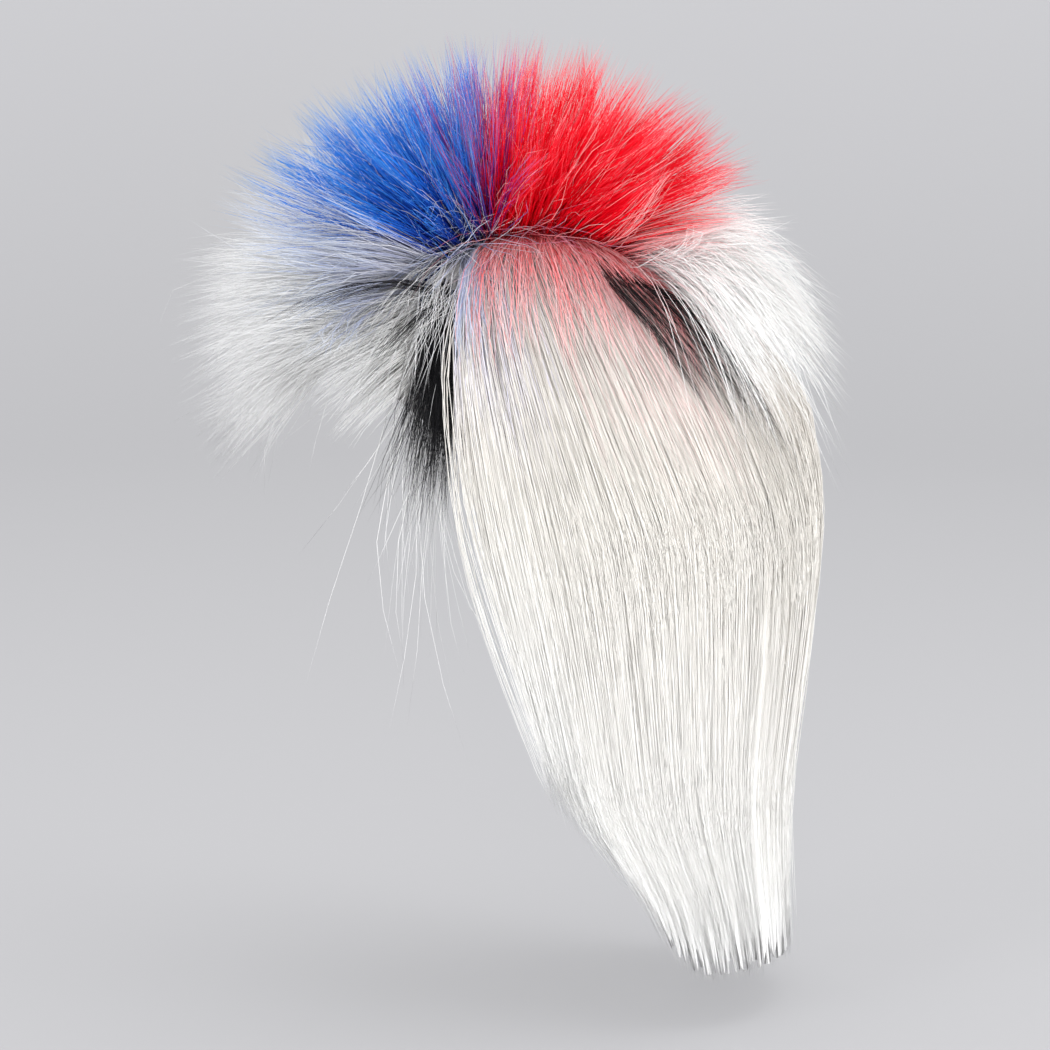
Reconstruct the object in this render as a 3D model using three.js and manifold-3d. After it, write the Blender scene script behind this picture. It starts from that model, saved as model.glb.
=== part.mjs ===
// A costume mullet wig: a sewn fabric cap that carries short spiky fur on the crown, a fringe over the
// forehead, tufts at the temples, streaks behind the crown, and long straight hair at the sides and back.
//
// Frame: millimetres, +Z up. The wearer faces -Y, and their left side is +X. The origin is the inside
// of the cap's top, where it rests on the head.
//
// Each piece of fur is a patch of dense pile on the cap with tapered locks fused to it.

import * as THREE from "three";
import { mergeVertices } from "three/addons/utils/BufferGeometryUtils.js";
import Module from "manifold-3d";

const wasm = await Module();
wasm.setup();

// The head that the cap fits
const headBreadth = 156;
const headLength = 196;
const crownHeight = 105; // from the head's widest level up to its top

// The cap, and how far below its top the rim runs
const capWall = 2;
const foreheadDrop = 62;
const earDrop = 118;
const napeDrop = 165;
const napeTuck = 10; // how far the rim draws in under the back of the head

// The fur
const pileBacking = 3; // dense base of the pile, on the cap
const clearance = 0.4; // between any two pieces
const pileLength = 98; // short fur, on the crown and the fringe
const crownHalfWidth = 42; // the coloured band's half width
const crownSpread = 62; // degrees that the fur at the band's edge leans out
const fringeSpread = 48; // degrees, at the fringe's ends
const edgeShortening = 0.12; // the fur at the band's edge is this share shorter
const hangingDroop = 0.05;
const crownLock = { width: 12, depth: 9 }; // half sizes of a lock at its thickest
const fringeLock = { width: 12, depth: 7 };
const tuftLock = { width: 7, depth: 5 };
const streakLock = { width: 4.5, depth: 2.4 };
const stripDepth = 5; // half the thickness of a long lock
const stripFill = 0.97; // its share of the room between its neighbours
const frontCrowding = 1.35; // the locks are narrower towards the face, where they swing apart
const rootNarrowing = 0.6; // a long lock's root, as a share of its width further down

// Where one kind of fur ends and the next begins, from the front to the back, as shares of half the
// head's length. The temples and the streaks lie beside the coloured band.
const fringeEnd = -0.755;
const templeStart = -0.59;
const templeEnd = -0.39;
const seamLine = -0.235;
const streakStart = 0.22;
const redEnd = 0.49;
const haloEnd = 0.82;
const streakPatchWidth = 8;
const layerSplit = 0.63; // share of napeDrop at which the nape's layer takes over from the back's

// The long hair hangs as a curtain round the head, open at the face
const hairDrop = 392; // from the cap's top down to the longest tips
const sideFullness = 28; // from the head out to the curtain's face, at the sides
const backFullness = 52; // the same, at the back
const curtainHalfWidth = headBreadth / 2 + sideFullness;
const curtainBackReach = headLength / 2 + backFullness;
const sideRoundness = 0.85; // powers that shape the curtain's plan, 1 where it is an ellipse
const backRoundness = 0.9;
const hairDrift = 0.8; // how far the strands swing back as they fall
const driftDrop = 130; // the fall over which they swing
const outerLayers = { face: 5, under: 16 }; // depths of the layers of locks in the curtain
const napeLayers = { face: 28, under: 39 };
const streakRootDrop = 24;
const streakDrop = 92; // how far below its root a streak's tip hangs
const streakBend = 1.2; // over 1, a streak falls more steeply towards its tip

const roundSteps = 24;
const domeSteps = 6;
const lockSwell = [0.45, 1, 0.75]; // sections of a lock at even steps, as shares of its half sizes
const stripShares = [0, 0.14, 0.36, 0.6, 0.84]; // sections of a long lock, as shares of its fall
const finest = 1e-3; // points closer than this are one
const flattest = 0.1; // edges that bend the surface by less than this are dropped
const knitRoughness = 0.9;
const furRoughness = 0.6;

// Rows of short fur, from the front to the back. `y` is a share of half the head's length, and `reach`
// of crownHalfWidth. `lean` is in degrees: 0 points forward, 90 up and 180 back.
// `pile` is a share of pileLength, and `droop` how far the tip falls, as a share of the lock.
const fringeRows = [
  { y: -0.79, reach: 0.84, lean: 16, pile: 1.16, droop: 0.14, count: 5 },
  { y: -0.85, reach: 0.63, lean: -4, pile: 1.12, droop: 0.16, count: 4 },
  { y: -0.91, reach: 0.34, lean: -32, pile: 1.05, droop: 0.14, count: 3 },
];
const blueRows = [
  { y: -0.7, reach: 0.88, lean: 30, pile: 1.12, droop: 0.08, count: 5 },
  { y: -0.56, reach: 0.88, lean: 47, pile: 1.08, droop: 0.06, count: 4 },
  { y: -0.41, reach: 0.88, lean: 64, pile: 1.0, droop: 0.04, count: 5 },
  { y: -0.28, reach: 0.88, lean: 82, pile: 0.98, droop: 0.02, count: 4 },
];
const redRows = [
  { y: -0.16, reach: 0.88, lean: 95, pile: 0.97, droop: 0.02, count: 5 },
  { y: 0, reach: 0.88, lean: 109, pile: 0.95, droop: 0.03, count: 4 },
  { y: 0.18, reach: 0.88, lean: 124, pile: 0.94, droop: 0.05, count: 4 },
  { y: 0.37, reach: 0.88, lean: 140, pile: 0.9, droop: 0.08, count: 4 },
];
const haloRows = [
  { y: 0.54, reach: 0.86, lean: 163, pile: 0.84, droop: 0.14, count: 4 },
  { y: 0.65, reach: 0.78, lean: 181, pile: 0.82, droop: 0.14, count: 3 },
  { y: 0.76, reach: 0.48, lean: 198, pile: 0.78, droop: 0.16, count: 2 },
];

// Single locks that hang at each temple. `y` and `down` are shares of the head's half length and the
// crown's height, and the rest are parts of the heading for one part down.
const fringeWingRows = [
  { y: -0.65, down: 0.46, out: 1.0, forward: 2.4, length: 1.05 },
  { y: -0.67, down: 0.57, out: 0.8, forward: 1.4, length: 0.95 },
];
const templeRows = [
  { y: -0.43, down: 0.46, out: 0.42, forward: -0.02, length: 0.88 },
  { y: -0.5, down: 0.4, out: 0.42, forward: 0.14, length: 0.88 },
  { y: -0.56, down: 0.48, out: 0.42, forward: 0.34, length: 0.88 },
  { y: -0.48, down: 0.66, out: 0.38, forward: 0.1, length: 0.86 },
];

// The curtain's level sections. `drop` is a share of hairDrop, `wide` of curtainHalfWidth, and the
// `front` and `back` edges are shares of curtainBackReach, measured back from the origin.
const curtainTable = [
  { drop: 0.03, wide: 0.5, front: -0.22, back: 0.5 },
  { drop: 0.077, wide: 0.7, front: -0.25, back: 0.72 },
  { drop: 0.154, wide: 0.88, front: -0.26, back: 0.88 },
  { drop: 0.256, wide: 0.98, front: -0.22, back: 0.95 },
  { drop: 0.385, wide: 1.0, front: -0.17, back: 1.0 },
  { drop: 0.577, wide: 0.95, front: -0.05, back: 0.95 },
  { drop: 0.769, wide: 0.88, front: 0.07, back: 0.88 },
  { drop: 0.885, wide: 0.82, front: 0.3, back: 0.88 },
  { drop: 1.0, wide: 0.77, front: 0.38, back: 0.9 },
];

// The drop of the curtain's lower edge, as a share of hairDrop. `around` runs from the curtain's
// front edge (0) to the middle of the back (1).
const tipTable = [
  { around: 0, tip: 0.76 },
  { around: 0.03, tip: 0.84 },
  { around: 0.07, tip: 0.95 },
  { around: 0.12, tip: 0.99 },
  { around: 1, tip: 1 },
];

// Streaks: `root` and `tip` are places round the curtain, and `reach` a share of streakDrop.
const streakRows = [
  { root: 0.29, tip: 0.45, reach: 0.86 },
  { root: 0.32, tip: 0.53, reach: 1 },
  { root: 0.35, tip: 0.61, reach: 1.08 },
  { root: 0.38, tip: 0.69, reach: 1.14 },
];

// Rows of long locks, side by side between two places round the curtain. `root` is the drop of their
// roots as a share of crownHeight, `depth` the row's place under the curtain's face, and `stagger` how
// much shorter every second lock is, as a share of hairDrop.
const sideRows = [
  { from: 0, to: 0.44, count: 6, root: 0.38, depth: outerLayers.face, stagger: 0.023 },
  { from: 0.08, to: 0.43, count: 4, root: 0.74, depth: outerLayers.under, stagger: 0.03 },
];
const backRows = [
  { from: 0.46, to: 1, count: 4, root: 0.476, depth: outerLayers.face, stagger: 0.02 },
  { from: 0.5, to: 0.98, count: 3, root: 0.84, depth: outerLayers.under, stagger: 0.03 },
];
const napeRows = [
  { from: 0.58, to: 1, count: 3, root: 1.12, depth: napeLayers.face, stagger: 0.02 },
  { from: 0.66, to: 0.98, count: 2, root: 1.37, depth: napeLayers.under, stagger: 0.03 },
];

const degrees = Math.PI / 180;

function interpolate(table, key, column, at) {
  const after = table.findIndex((row) => row[key] >= at);
  if (after <= 0) return (after === 0 ? table[0] : table[table.length - 1])[column];
  const [low, high] = [table[after - 1], table[after]];
  const share = (at - low[key]) / (high[key] - low[key]);
  return low[column] + share * (high[column] - low[column]);
}

// The drop of the cap's rim. `turn` is 0 at the wearer's left ear and a quarter turn at the back.
function rimDrop(turn) {
  const toBack = Math.sin(turn);
  const reach = toBack > 0 ? napeDrop - earDrop : foreheadDrop - earDrop;
  return earDrop + reach * toBack * toBack;
}

function rimAngle(drop) {
  if (drop <= crownHeight) return Math.acos(1 - drop / crownHeight);
  return Math.PI / 2 + (drop - crownHeight) / crownHeight;
}

// A point on the head's surface grown by `out`, `share` of the way from the top down to `drop`.
function headPoint(turn, share, out, drop) {
  const angle = share * rimAngle(drop);
  const below = Math.max(0, angle - Math.PI / 2) * crownHeight;
  const level = below > 0 ? 1 : Math.sin(angle);
  const tuck = napeTuck * (below / (napeDrop - crownHeight)) ** 2 * Math.max(0, Math.sin(turn));
  const x = (headBreadth / 2 + out) * level * Math.cos(turn);
  const y = (headLength / 2 + out) * level * Math.sin(turn) - tuck;
  const z = below > 0 ? -crownHeight - below : (crownHeight + out) * Math.cos(angle) - crownHeight;
  return new THREE.Vector3(x, y, z);
}

// The point of the head's surface that has the two coordinates given. `side` is the third one's sign.
function onHead({ x, y, z }, side = 1) {
  const out = capWall + clearance;
  const [a, b, c] = [headBreadth / 2 + out, headLength / 2 + out, crownHeight + out];
  const up = z === undefined ? 0 : Math.max(0, (z + crownHeight) / c);
  const rest = Math.sqrt(Math.max(0, 1 - ((x ?? 0) / a) ** 2 - ((y ?? 0) / b) ** 2 - up ** 2));
  if (z === undefined) return new THREE.Vector3(x, y, c * rest - crownHeight);
  if (y === undefined) return new THREE.Vector3(x, side * b * rest, z);
  return new THREE.Vector3(side * a * rest, y, z);
}

function solidFromTriangles(points, triangles) {
  const geometry = new THREE.BufferGeometry().setFromPoints(points);
  geometry.setIndex(triangles);
  return solidFromGeometry(geometry);
}

function solidFromGeometry(geometry) {
  const bare = geometry.clone();
  bare.deleteAttribute("normal");
  bare.deleteAttribute("uv");
  const merged = mergeVertices(bare, finest);
  const mesh = new wasm.Mesh({
    numProp: 3,
    vertProperties: merged.attributes.position.array,
    triVerts: new Uint32Array(merged.index.array),
  });
  return new wasm.Manifold(mesh);
}

function geometryFromSolid(solid) {
  const mesh = solid.getMesh();
  const geometry = new THREE.BufferGeometry();
  geometry.setAttribute("position", new THREE.BufferAttribute(mesh.vertProperties, 3));
  geometry.setIndex(new THREE.BufferAttribute(mesh.triVerts, 1));
  geometry.computeVertexNormals();
  return geometry;
}

// One skin of the head form: a ring of points at each step down, and the top point last.
function headSkin(out, dropAt) {
  const points = [];
  for (let step = 1; step <= domeSteps; step++)
    for (let i = 0; i < roundSteps; i++) {
      const turn = (i / roundSteps) * 2 * Math.PI;
      points.push(headPoint(turn, step / domeSteps, out, dropAt(turn)));
    }
  points.push(headPoint(0, 0, out, dropAt(0)));
  return points;
}

// Triangles of a skin whose points start at `first`, facing out, or in if `flip` is set. The two sides
// of the head are mirror images, in their diagonals too.
function skinTriangles(first, flip) {
  const triangles = [];
  const add = (a, b, c) => triangles.push(...(flip ? [a, c, b] : [a, b, c]));
  const at = (step, i) => first + step * roundSteps + (i % roundSteps);
  const top = first + domeSteps * roundSteps;
  for (let i = 0; i < roundSteps; i++) {
    add(top, at(0, i), at(0, i + 1));
    const onRight = Math.cos(((i + 0.5) / roundSteps) * 2 * Math.PI) < 0;
    for (let step = 0; step < domeSteps - 1; step++) {
      const [above, below] = [at(step, i), at(step + 1, i)];
      const [nextAbove, nextBelow] = [at(step, i + 1), at(step + 1, i + 1)];
      add(above, below, onRight ? nextAbove : nextBelow);
      add(onRight ? below : above, nextBelow, nextAbove);
    }
  }
  return triangles;
}

// A wall of the head form between two offsets, open below its rim.
function headWall(inner, outer, dropAt) {
  const points = [...headSkin(outer, dropAt), ...headSkin(inner, dropAt)];
  const second = points.length / 2;
  const triangles = [...skinTriangles(0, false), ...skinTriangles(second, true)];
  const rim = (domeSteps - 1) * roundSteps;
  for (let i = 0; i < roundSteps; i++) {
    const [a, b] = [rim + i, rim + ((i + 1) % roundSteps)];
    triangles.push(a, second + a, second + b, a, second + b, b);
  }
  return solidFromTriangles(points, triangles);
}

// The space that the fur leaves for the cap and the head, taken straight down below the cap's rim.
function headForm() {
  const points = headSkin(capWall + clearance, rimDrop);
  const triangles = skinTriangles(0, false);
  const [rim, floor] = [(domeSteps - 1) * roundSteps, points.length];
  const bottom = -napeDrop - pileBacking;
  for (let i = 0; i < roundSteps; i++) points.push(points[rim + i].clone().setZ(bottom));
  points.push(new THREE.Vector3(0, 0, bottom));
  const middle = points.length - 1;
  for (let i = 0; i < roundSteps; i++) {
    const next = (i + 1) % roundSteps;
    triangles.push(rim + i, floor + i, floor + next, rim + i, floor + next, rim + next);
    triangles.push(floor + next, floor + i, middle);
  }
  return solidFromTriangles(points, triangles);
}

// A patch of pile on the cap, inside the zones. A zone is a box: its limits on each axis.
function patch(zones, grow) {
  const boxes = zones.map((limits) => {
    const size = limits.map(([low, high]) => high - low + 2 * grow);
    const centre = limits.map(([low, high]) => (low + high) / 2);
    return solidFromGeometry(new THREE.BoxGeometry(...size).translate(...centre));
  });
  const inner = capWall + clearance;
  const pile = headWall(inner, inner + pileBacking + grow, rimDrop);
  return pile.intersect(wasm.Manifold.union(boxes));
}

// A closed spike through diamond sections that ends at `tip`. `across` and `up` are the vectors from a
// section's centre to two of its corners.
function spike(sections, tip, grow) {
  const points = [];
  const longer = (half) => half.clone().setLength(half.length() + grow);
  for (const { centre, across, up } of sections)
    for (const half of [longer(across), longer(up), longer(across).negate(), longer(up).negate()])
      points.push(centre.clone().add(half));
  const heading = tip.clone().sub(sections[sections.length - 1].centre).normalize();
  points.push(tip.clone().addScaledVector(heading, 2 * grow), sections[0].centre);
  const [point, base] = [points.length - 2, points.length - 1];
  const triangles = [];
  const at = (step, corner) => 4 * step + (corner % 4);
  const last = sections.length - 1;
  for (let corner = 0; corner < 4; corner++) {
    triangles.push(base, at(0, corner + 1), at(0, corner));
    triangles.push(at(last, corner), at(last, corner + 1), point);
    for (let step = 0; step < last; step++) {
      triangles.push(at(step, corner), at(step, corner + 1), at(step + 1, corner + 1));
      triangles.push(at(step, corner), at(step + 1, corner + 1), at(step + 1, corner));
    }
  }
  return solidFromTriangles(points, triangles);
}

// A tapered lock along `path`, whose last point is the tip. `side` is the direction of its width.
function lock(path, side, { width, depth }, grow) {
  const sections = lockSwell.map((swell, step) => {
    const along = new THREE.Vector3().subVectors(path[step + 1], path[Math.max(0, step - 1)]);
    const up = new THREE.Vector3().crossVectors(along, side).setLength(depth * swell);
    const across = new THREE.Vector3().crossVectors(up, along).setLength(width * swell);
    return { centre: path[step], across, up };
  });
  return spike(sections, path[path.length - 1], grow);
}

// A short lock that leaves `root` along `heading` and droops towards its tip.
function shortLock(root, heading, length, droop, side, size, grow) {
  const path = [];
  for (let step = 0; step <= lockSwell.length; step++) {
    const share = step / lockSwell.length;
    const point = root.clone().addScaledVector(heading, length * share);
    point.z -= droop * length * share * share;
    path.push(point);
  }
  return lock(path, side, size, grow);
}

// The heading of the short fur at a root: `lean` along the head, then `spread` out to the side.
function furHeading(lean, spread) {
  const upright = Math.cos(spread * degrees);
  const [forward, up] = [Math.cos(lean * degrees), Math.sin(lean * degrees)];
  return new THREE.Vector3(Math.sin(spread * degrees), -forward * upright, up * upright);
}

// Locks of the short fur in rows, each fanning out towards its ends.
function shortFur(rows, edgeSpread, size, grow) {
  const locks = [];
  for (const { y, reach, lean, pile, droop, count } of rows)
    for (let i = 0; i < count; i++) {
      const across = (2 * i) / (count - 1) - 1;
      const root = onHead({ x: across * reach * crownHalfWidth, y: (y * headLength) / 2 });
      const heading = furHeading(lean, across * edgeSpread);
      const side = furHeading(0, across * edgeSpread + 90).setY(0);
      const length = pileLength * pile * (1 - edgeShortening * Math.abs(across));
      locks.push(shortLock(root, heading, length, droop, side, size, grow));
    }
  return locks;
}

// Locks that hang from single roots on one side of the cap.
function hangingLocks(rows, side, size, grow) {
  return rows.map(({ y, down, out, forward, length }) => {
    const root = onHead({ y: (y * headLength) / 2, z: -down * crownHeight }, side);
    const heading = new THREE.Vector3(side * out, -forward, -1).normalize();
    const across = new THREE.Vector3(0, 1, 0);
    return shortLock(root, heading, length * pileLength, hangingDroop, across, size, grow);
  });
}

// A point of the curtain of long hair, `depth` under its face. `around` runs from the front edge (0)
// to the middle of the back (1), on the side that `side` names.
function curtainPoint(around, drop, depth, side) {
  const read = (column) => interpolate(curtainTable, "drop", column, drop / hairDrop);
  const turn = (around * Math.PI) / 2;
  const front = read("front") * curtainBackReach;
  const reach = read("back") * curtainBackReach - depth - front;
  const x = side * (read("wide") * curtainHalfWidth - depth) * Math.cos(turn) ** sideRoundness;
  return new THREE.Vector3(x, front + reach * Math.sin(turn) ** backRoundness, -drop);
}

// A long flat lock between two lines down the curtain's face, `near` and `far` round it.
function longLock({ near, far, root, depth, short }, side, grow) {
  const middle = (near + far) / 2;
  const rootDrop = root * crownHeight;
  const tip = hairDrop * (interpolate(tipTable, "around", "tip", middle) - short);
  const at = (around, drop) => {
    const swing = hairDrift * around * (1 - around) * Math.min(1, (drop - rootDrop) / driftDrop);
    return curtainPoint(around + swing, drop, depth, side);
  };
  const sections = stripShares.map((share) => {
    const drop = rootDrop + (tip - rootDrop) * share;
    const centre = at(middle, drop);
    const across = at(far, drop).sub(at(near, drop)).multiplyScalar(0.5 * stripFill);
    const up = new THREE.Vector3(across.y, -across.x, 0).setLength(side * stripDepth);
    if (share === 0) {
      centre.copy(onHeadAt(centre, rootDrop));
      across.multiplyScalar(rootNarrowing);
      up.multiplyScalar(rootNarrowing);
    }
    return { centre, across: across.multiplyScalar(side), up };
  });
  return spike(sections, at(middle, tip), grow);
}

// The point of the cap's outside at one drop, straight in from `point`.
function onHeadAt(point, drop) {
  return headPoint(Math.atan2(point.y, point.x), 1, capWall + clearance, drop);
}

// Rows of long locks side by side, every second one a little shorter.
function longFur(rows, sides, grow) {
  const locks = [];
  for (const { from, to, count, root, depth, stagger } of rows)
    for (const side of sides)
      for (let i = 0; i < count; i++) {
        const near = from + (to - from) * (i / count) ** frontCrowding;
        const far = from + (to - from) * ((i + 1) / count) ** frontCrowding;
        const short = stagger * (i % 2);
        locks.push(longLock({ near, far, root, depth, short }, side, grow));
      }
  return locks;
}

// Thin black locks that fan out over the face of the curtain, behind the red fur.
function streakLocks(side, grow) {
  const proud = streakLock.depth + clearance + stripDepth - outerLayers.face;
  const across = new THREE.Vector3(0, 1, 0);
  return streakRows.map(({ root, tip, reach }) => {
    const path = [];
    for (let step = 0; step <= lockSwell.length; step++) {
      const share = step / lockSwell.length;
      const drop = streakRootDrop + streakDrop * reach * share ** streakBend;
      path.push(curtainPoint(root + (tip - root) * share, drop, -proud, side));
    }
    path[0] = onHead({ x: side * (crownHalfWidth + streakPatchWidth / 2), y: path[0].y });
    return lock(path, across, streakLock, grow);
  });
}

// The space between two shares of half the head's length, `across` from side to side, as limits on
// each axis. It leaves half the clearance at each of its ends.
function zone(across, from, to, down = [-headLength, headLength]) {
  const gap = clearance / 2;
  const [front, back] = [from, to].map((share) => (share * headLength) / 2);
  return [
    [across[0] + gap, across[1] - gap],
    [front + gap, back - gap],
    [down[0] + gap, down[1] - gap],
  ];
}

// Every piece of fur, those that keep their whole shape first. Each later one makes room for them.
// A piece on the left has its mirror image on the right.
function furPieces() {
  const band = [-crownHalfWidth, crownHalfWidth];
  const left = [crownHalfWidth, headBreadth];
  const right = [-headBreadth, -crownHalfWidth];
  const whole = [-headBreadth, headBreadth];
  const streakBand = [crownHalfWidth, crownHalfWidth + streakPatchWidth];
  const napeTop = -layerSplit * napeDrop;
  return [
    {
      name: "streak_black",
      paired: true,
      colour: 0x2a2a2c,
      zones: [zone(streakBand, streakStart, redEnd)],
      locks: (grow) => streakLocks(1, grow),
    },
    {
      name: "crown_blue",
      colour: 0x1e4fc4,
      zones: [zone(band, fringeEnd, seamLine)],
      locks: (grow) => shortFur(blueRows, crownSpread, crownLock, grow),
    },
    {
      name: "crown_red",
      colour: 0xf01420,
      zones: [zone(band, seamLine, redEnd)],
      locks: (grow) => shortFur(redRows, crownSpread, crownLock, grow),
    },
    {
      name: "halo_white",
      colour: 0xf0eeee,
      zones: [zone(band, redEnd, haloEnd)],
      locks: (grow) => shortFur(haloRows, crownSpread, crownLock, grow),
    },
    {
      name: "fringe_white",
      colour: 0xf0f0f2,
      zones: [
        zone(whole, -headLength, fringeEnd),
        zone(left, -headLength, templeStart),
        zone(right, -headLength, templeStart),
      ],
      locks: (grow) => [
        ...shortFur(fringeRows, fringeSpread, fringeLock, grow),
        ...hangingLocks(fringeWingRows, 1, fringeLock, grow),
        ...hangingLocks(fringeWingRows, -1, fringeLock, grow),
      ],
    },
    {
      name: "temple_black",
      paired: true,
      colour: 0x1c1c1e,
      zones: [zone(left, templeStart, templeEnd)],
      locks: (grow) => hangingLocks(templeRows, 1, tuftLock, grow),
    },
    {
      name: "side_hair",
      paired: true,
      colour: 0xf2f0ec,
      zones: [zone(left, templeEnd, redEnd)],
      locks: (grow) => longFur(sideRows, [1], grow),
    },
    {
      name: "back_hair",
      colour: 0xf4f3f0,
      zones: [zone(whole, redEnd, headLength, [napeTop, headLength])],
      locks: (grow) => longFur(backRows, [1, -1], grow),
    },
    {
      name: "nape_mullet",
      colour: 0xecebe8,
      zones: [zone(whole, redEnd, headLength, [-headLength, napeTop])],
      locks: (grow) => longFur(napeRows, [1, -1], grow),
    },
  ];
}

function furSolid({ zones, locks }, grow) {
  return wasm.Manifold.union([patch(zones, grow), ...locks(grow)]);
}

// The mirror image of a solid, on the other side of the head.
function mirrored(solid) {
  const geometry = geometryFromSolid(solid).scale(-1, 1, 1);
  const order = geometry.index.array;
  for (let i = 0; i < order.length; i += 3) [order[i], order[i + 1]] = [order[i + 1], order[i]];
  return solidFromGeometry(geometry);
}

// The largest body of a solid, without the slivers that a cut leaves.
function largestBody(solid) {
  const even = solidFromGeometry(geometryFromSolid(solid.simplify(flattest)));
  const bodies = even.decompose();
  return bodies.reduce((best, body) => (body.volume() > best.volume() ? body : best));
}

function meshOf(name, solid, colour, roughness) {
  const material = new THREE.MeshStandardMaterial({ color: colour, roughness, metalness: 0 });
  const mesh = new THREE.Mesh(geometryFromSolid(solid), material);
  mesh.name = name;
  return mesh;
}

const wig = new THREE.Group();
wig.name = "mullet_wig";
wig.add(meshOf("cap", headWall(0, capWall, rimDrop), 0xd8d4cc, knitRoughness));

let taken = headForm();
for (const piece of furPieces()) {
  const solid = largestBody(furSolid(piece, 0).subtract(taken));
  const room = furSolid(piece, clearance);
  const add = (suffix, body) =>
    wig.add(meshOf(piece.name + suffix, body, piece.colour, furRoughness));
  add(piece.paired ? "_left" : "", solid);
  if (piece.paired) add("_right", mirrored(solid));
  taken = wasm.Manifold.union(piece.paired ? [taken, room, mirrored(room)] : [taken, room]);
}

export default wig;
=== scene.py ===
# The looks of a costume mullet wig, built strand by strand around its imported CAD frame.
#
# Lengths are in millimetres until a mesh is made, and the frame is the CAD's: +Z up, the wearer
# faces -Y, their left side is +X, and the origin is the inside of the cap's top. `side` is 1 on the
# wearer's left and -1 on their right.

import math

import bmesh
import bpy
import numpy as np
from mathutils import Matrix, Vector


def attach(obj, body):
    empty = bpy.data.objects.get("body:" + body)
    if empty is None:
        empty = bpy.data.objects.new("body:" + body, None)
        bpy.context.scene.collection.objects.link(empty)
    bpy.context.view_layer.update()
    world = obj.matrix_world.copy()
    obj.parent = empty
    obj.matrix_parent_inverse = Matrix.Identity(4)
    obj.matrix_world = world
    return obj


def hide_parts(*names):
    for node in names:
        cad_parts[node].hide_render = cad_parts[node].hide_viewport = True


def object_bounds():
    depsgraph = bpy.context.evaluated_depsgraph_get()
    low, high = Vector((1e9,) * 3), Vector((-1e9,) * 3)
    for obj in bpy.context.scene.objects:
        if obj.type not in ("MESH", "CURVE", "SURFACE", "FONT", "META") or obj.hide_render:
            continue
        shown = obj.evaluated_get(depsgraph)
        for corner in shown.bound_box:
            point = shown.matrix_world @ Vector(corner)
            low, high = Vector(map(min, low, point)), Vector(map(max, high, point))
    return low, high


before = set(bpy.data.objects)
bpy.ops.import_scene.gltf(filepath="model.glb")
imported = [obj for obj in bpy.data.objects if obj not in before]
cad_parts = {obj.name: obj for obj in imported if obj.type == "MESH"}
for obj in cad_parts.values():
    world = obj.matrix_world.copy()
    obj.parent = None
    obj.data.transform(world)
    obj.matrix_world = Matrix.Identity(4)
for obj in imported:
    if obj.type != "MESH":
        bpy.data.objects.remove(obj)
cad_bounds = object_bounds()

MM = 0.001
SEED = 11
SIDES = {"left": 1, "right": -1}

# The head and its cap, as in the CAD
HEAD_BREADTH = 156
HEAD_LENGTH = 196
CROWN_HEIGHT = 105
CAP_WALL = 2
FOREHEAD_DROP = 62
EAR_DROP = 118
NAPE_DROP = 165
NAPE_TUCK = 10
PILE_BACKING = 3
CLEARANCE = 0.4
ROOT_OUT = CAP_WALL + CLEARANCE + PILE_BACKING / 2  # the strands' roots, inside the pile
HALF_LENGTH = HEAD_LENGTH / 2
HALF_BREADTH = HEAD_BREADTH / 2

# The short fur
PILE_LENGTH = 98
BAND_HALF_WIDTH = 42
CROWN_SPREAD = 62
FRINGE_SPREAD = 48
EDGE_SHORTENING = 0.12

# Limits between the kinds of fur, as shares of half the head's length, from the front
FRINGE_END = -0.755
TEMPLE_START = -0.59
TEMPLE_END = -0.39
SEAM_LINE = -0.235
RED_END = 0.49
HALO_END = 0.82
TEMPLE_MIDDLE = -0.475
STREAK_PATCH_WIDTH = 8
TUFT_TOP = 38
TUFT_BASE = 74

# The long hair, which hangs as a curtain open at the face
HAIR_DROP = 392
CURTAIN_HALF_WIDTH = HALF_BREADTH + 28
CURTAIN_BACK_REACH = HALF_LENGTH + 52
SIDE_ROUNDNESS = 0.85
BACK_ROUNDNESS = 0.9
HAIR_DRIFT = 0.8
DRIFT_DROP = 130
STREAK_ROOT_DROP = 24
STREAK_DROP = 92
STREAK_BEND = 1.2
SKIRT_LIFT = 52  # how far the strands from the band's edges fall before they have left the head
HIGHEST_ROOT = 20
LOWEST_ROOT = 104

# The curtain's level sections, by the share of HAIR_DROP
CURTAIN = {
    "drop": (0.03, 0.077, 0.154, 0.256, 0.385, 0.577, 0.769, 0.885, 1.0),
    "wide": (0.5, 0.7, 0.88, 0.98, 1.0, 0.95, 0.88, 0.82, 0.77),
    "front": (-0.22, -0.25, -0.26, -0.22, -0.17, -0.05, 0.07, 0.3, 0.38),
    "back": (0.5, 0.72, 0.88, 0.95, 1.0, 0.95, 0.88, 0.88, 0.9),
}

# The drop of the curtain's lower edge, by the place round it
TIPS = {"around": (0, 0.03, 0.07, 0.12, 1), "tip": (0.76, 0.84, 0.95, 0.99, 1)}

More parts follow.
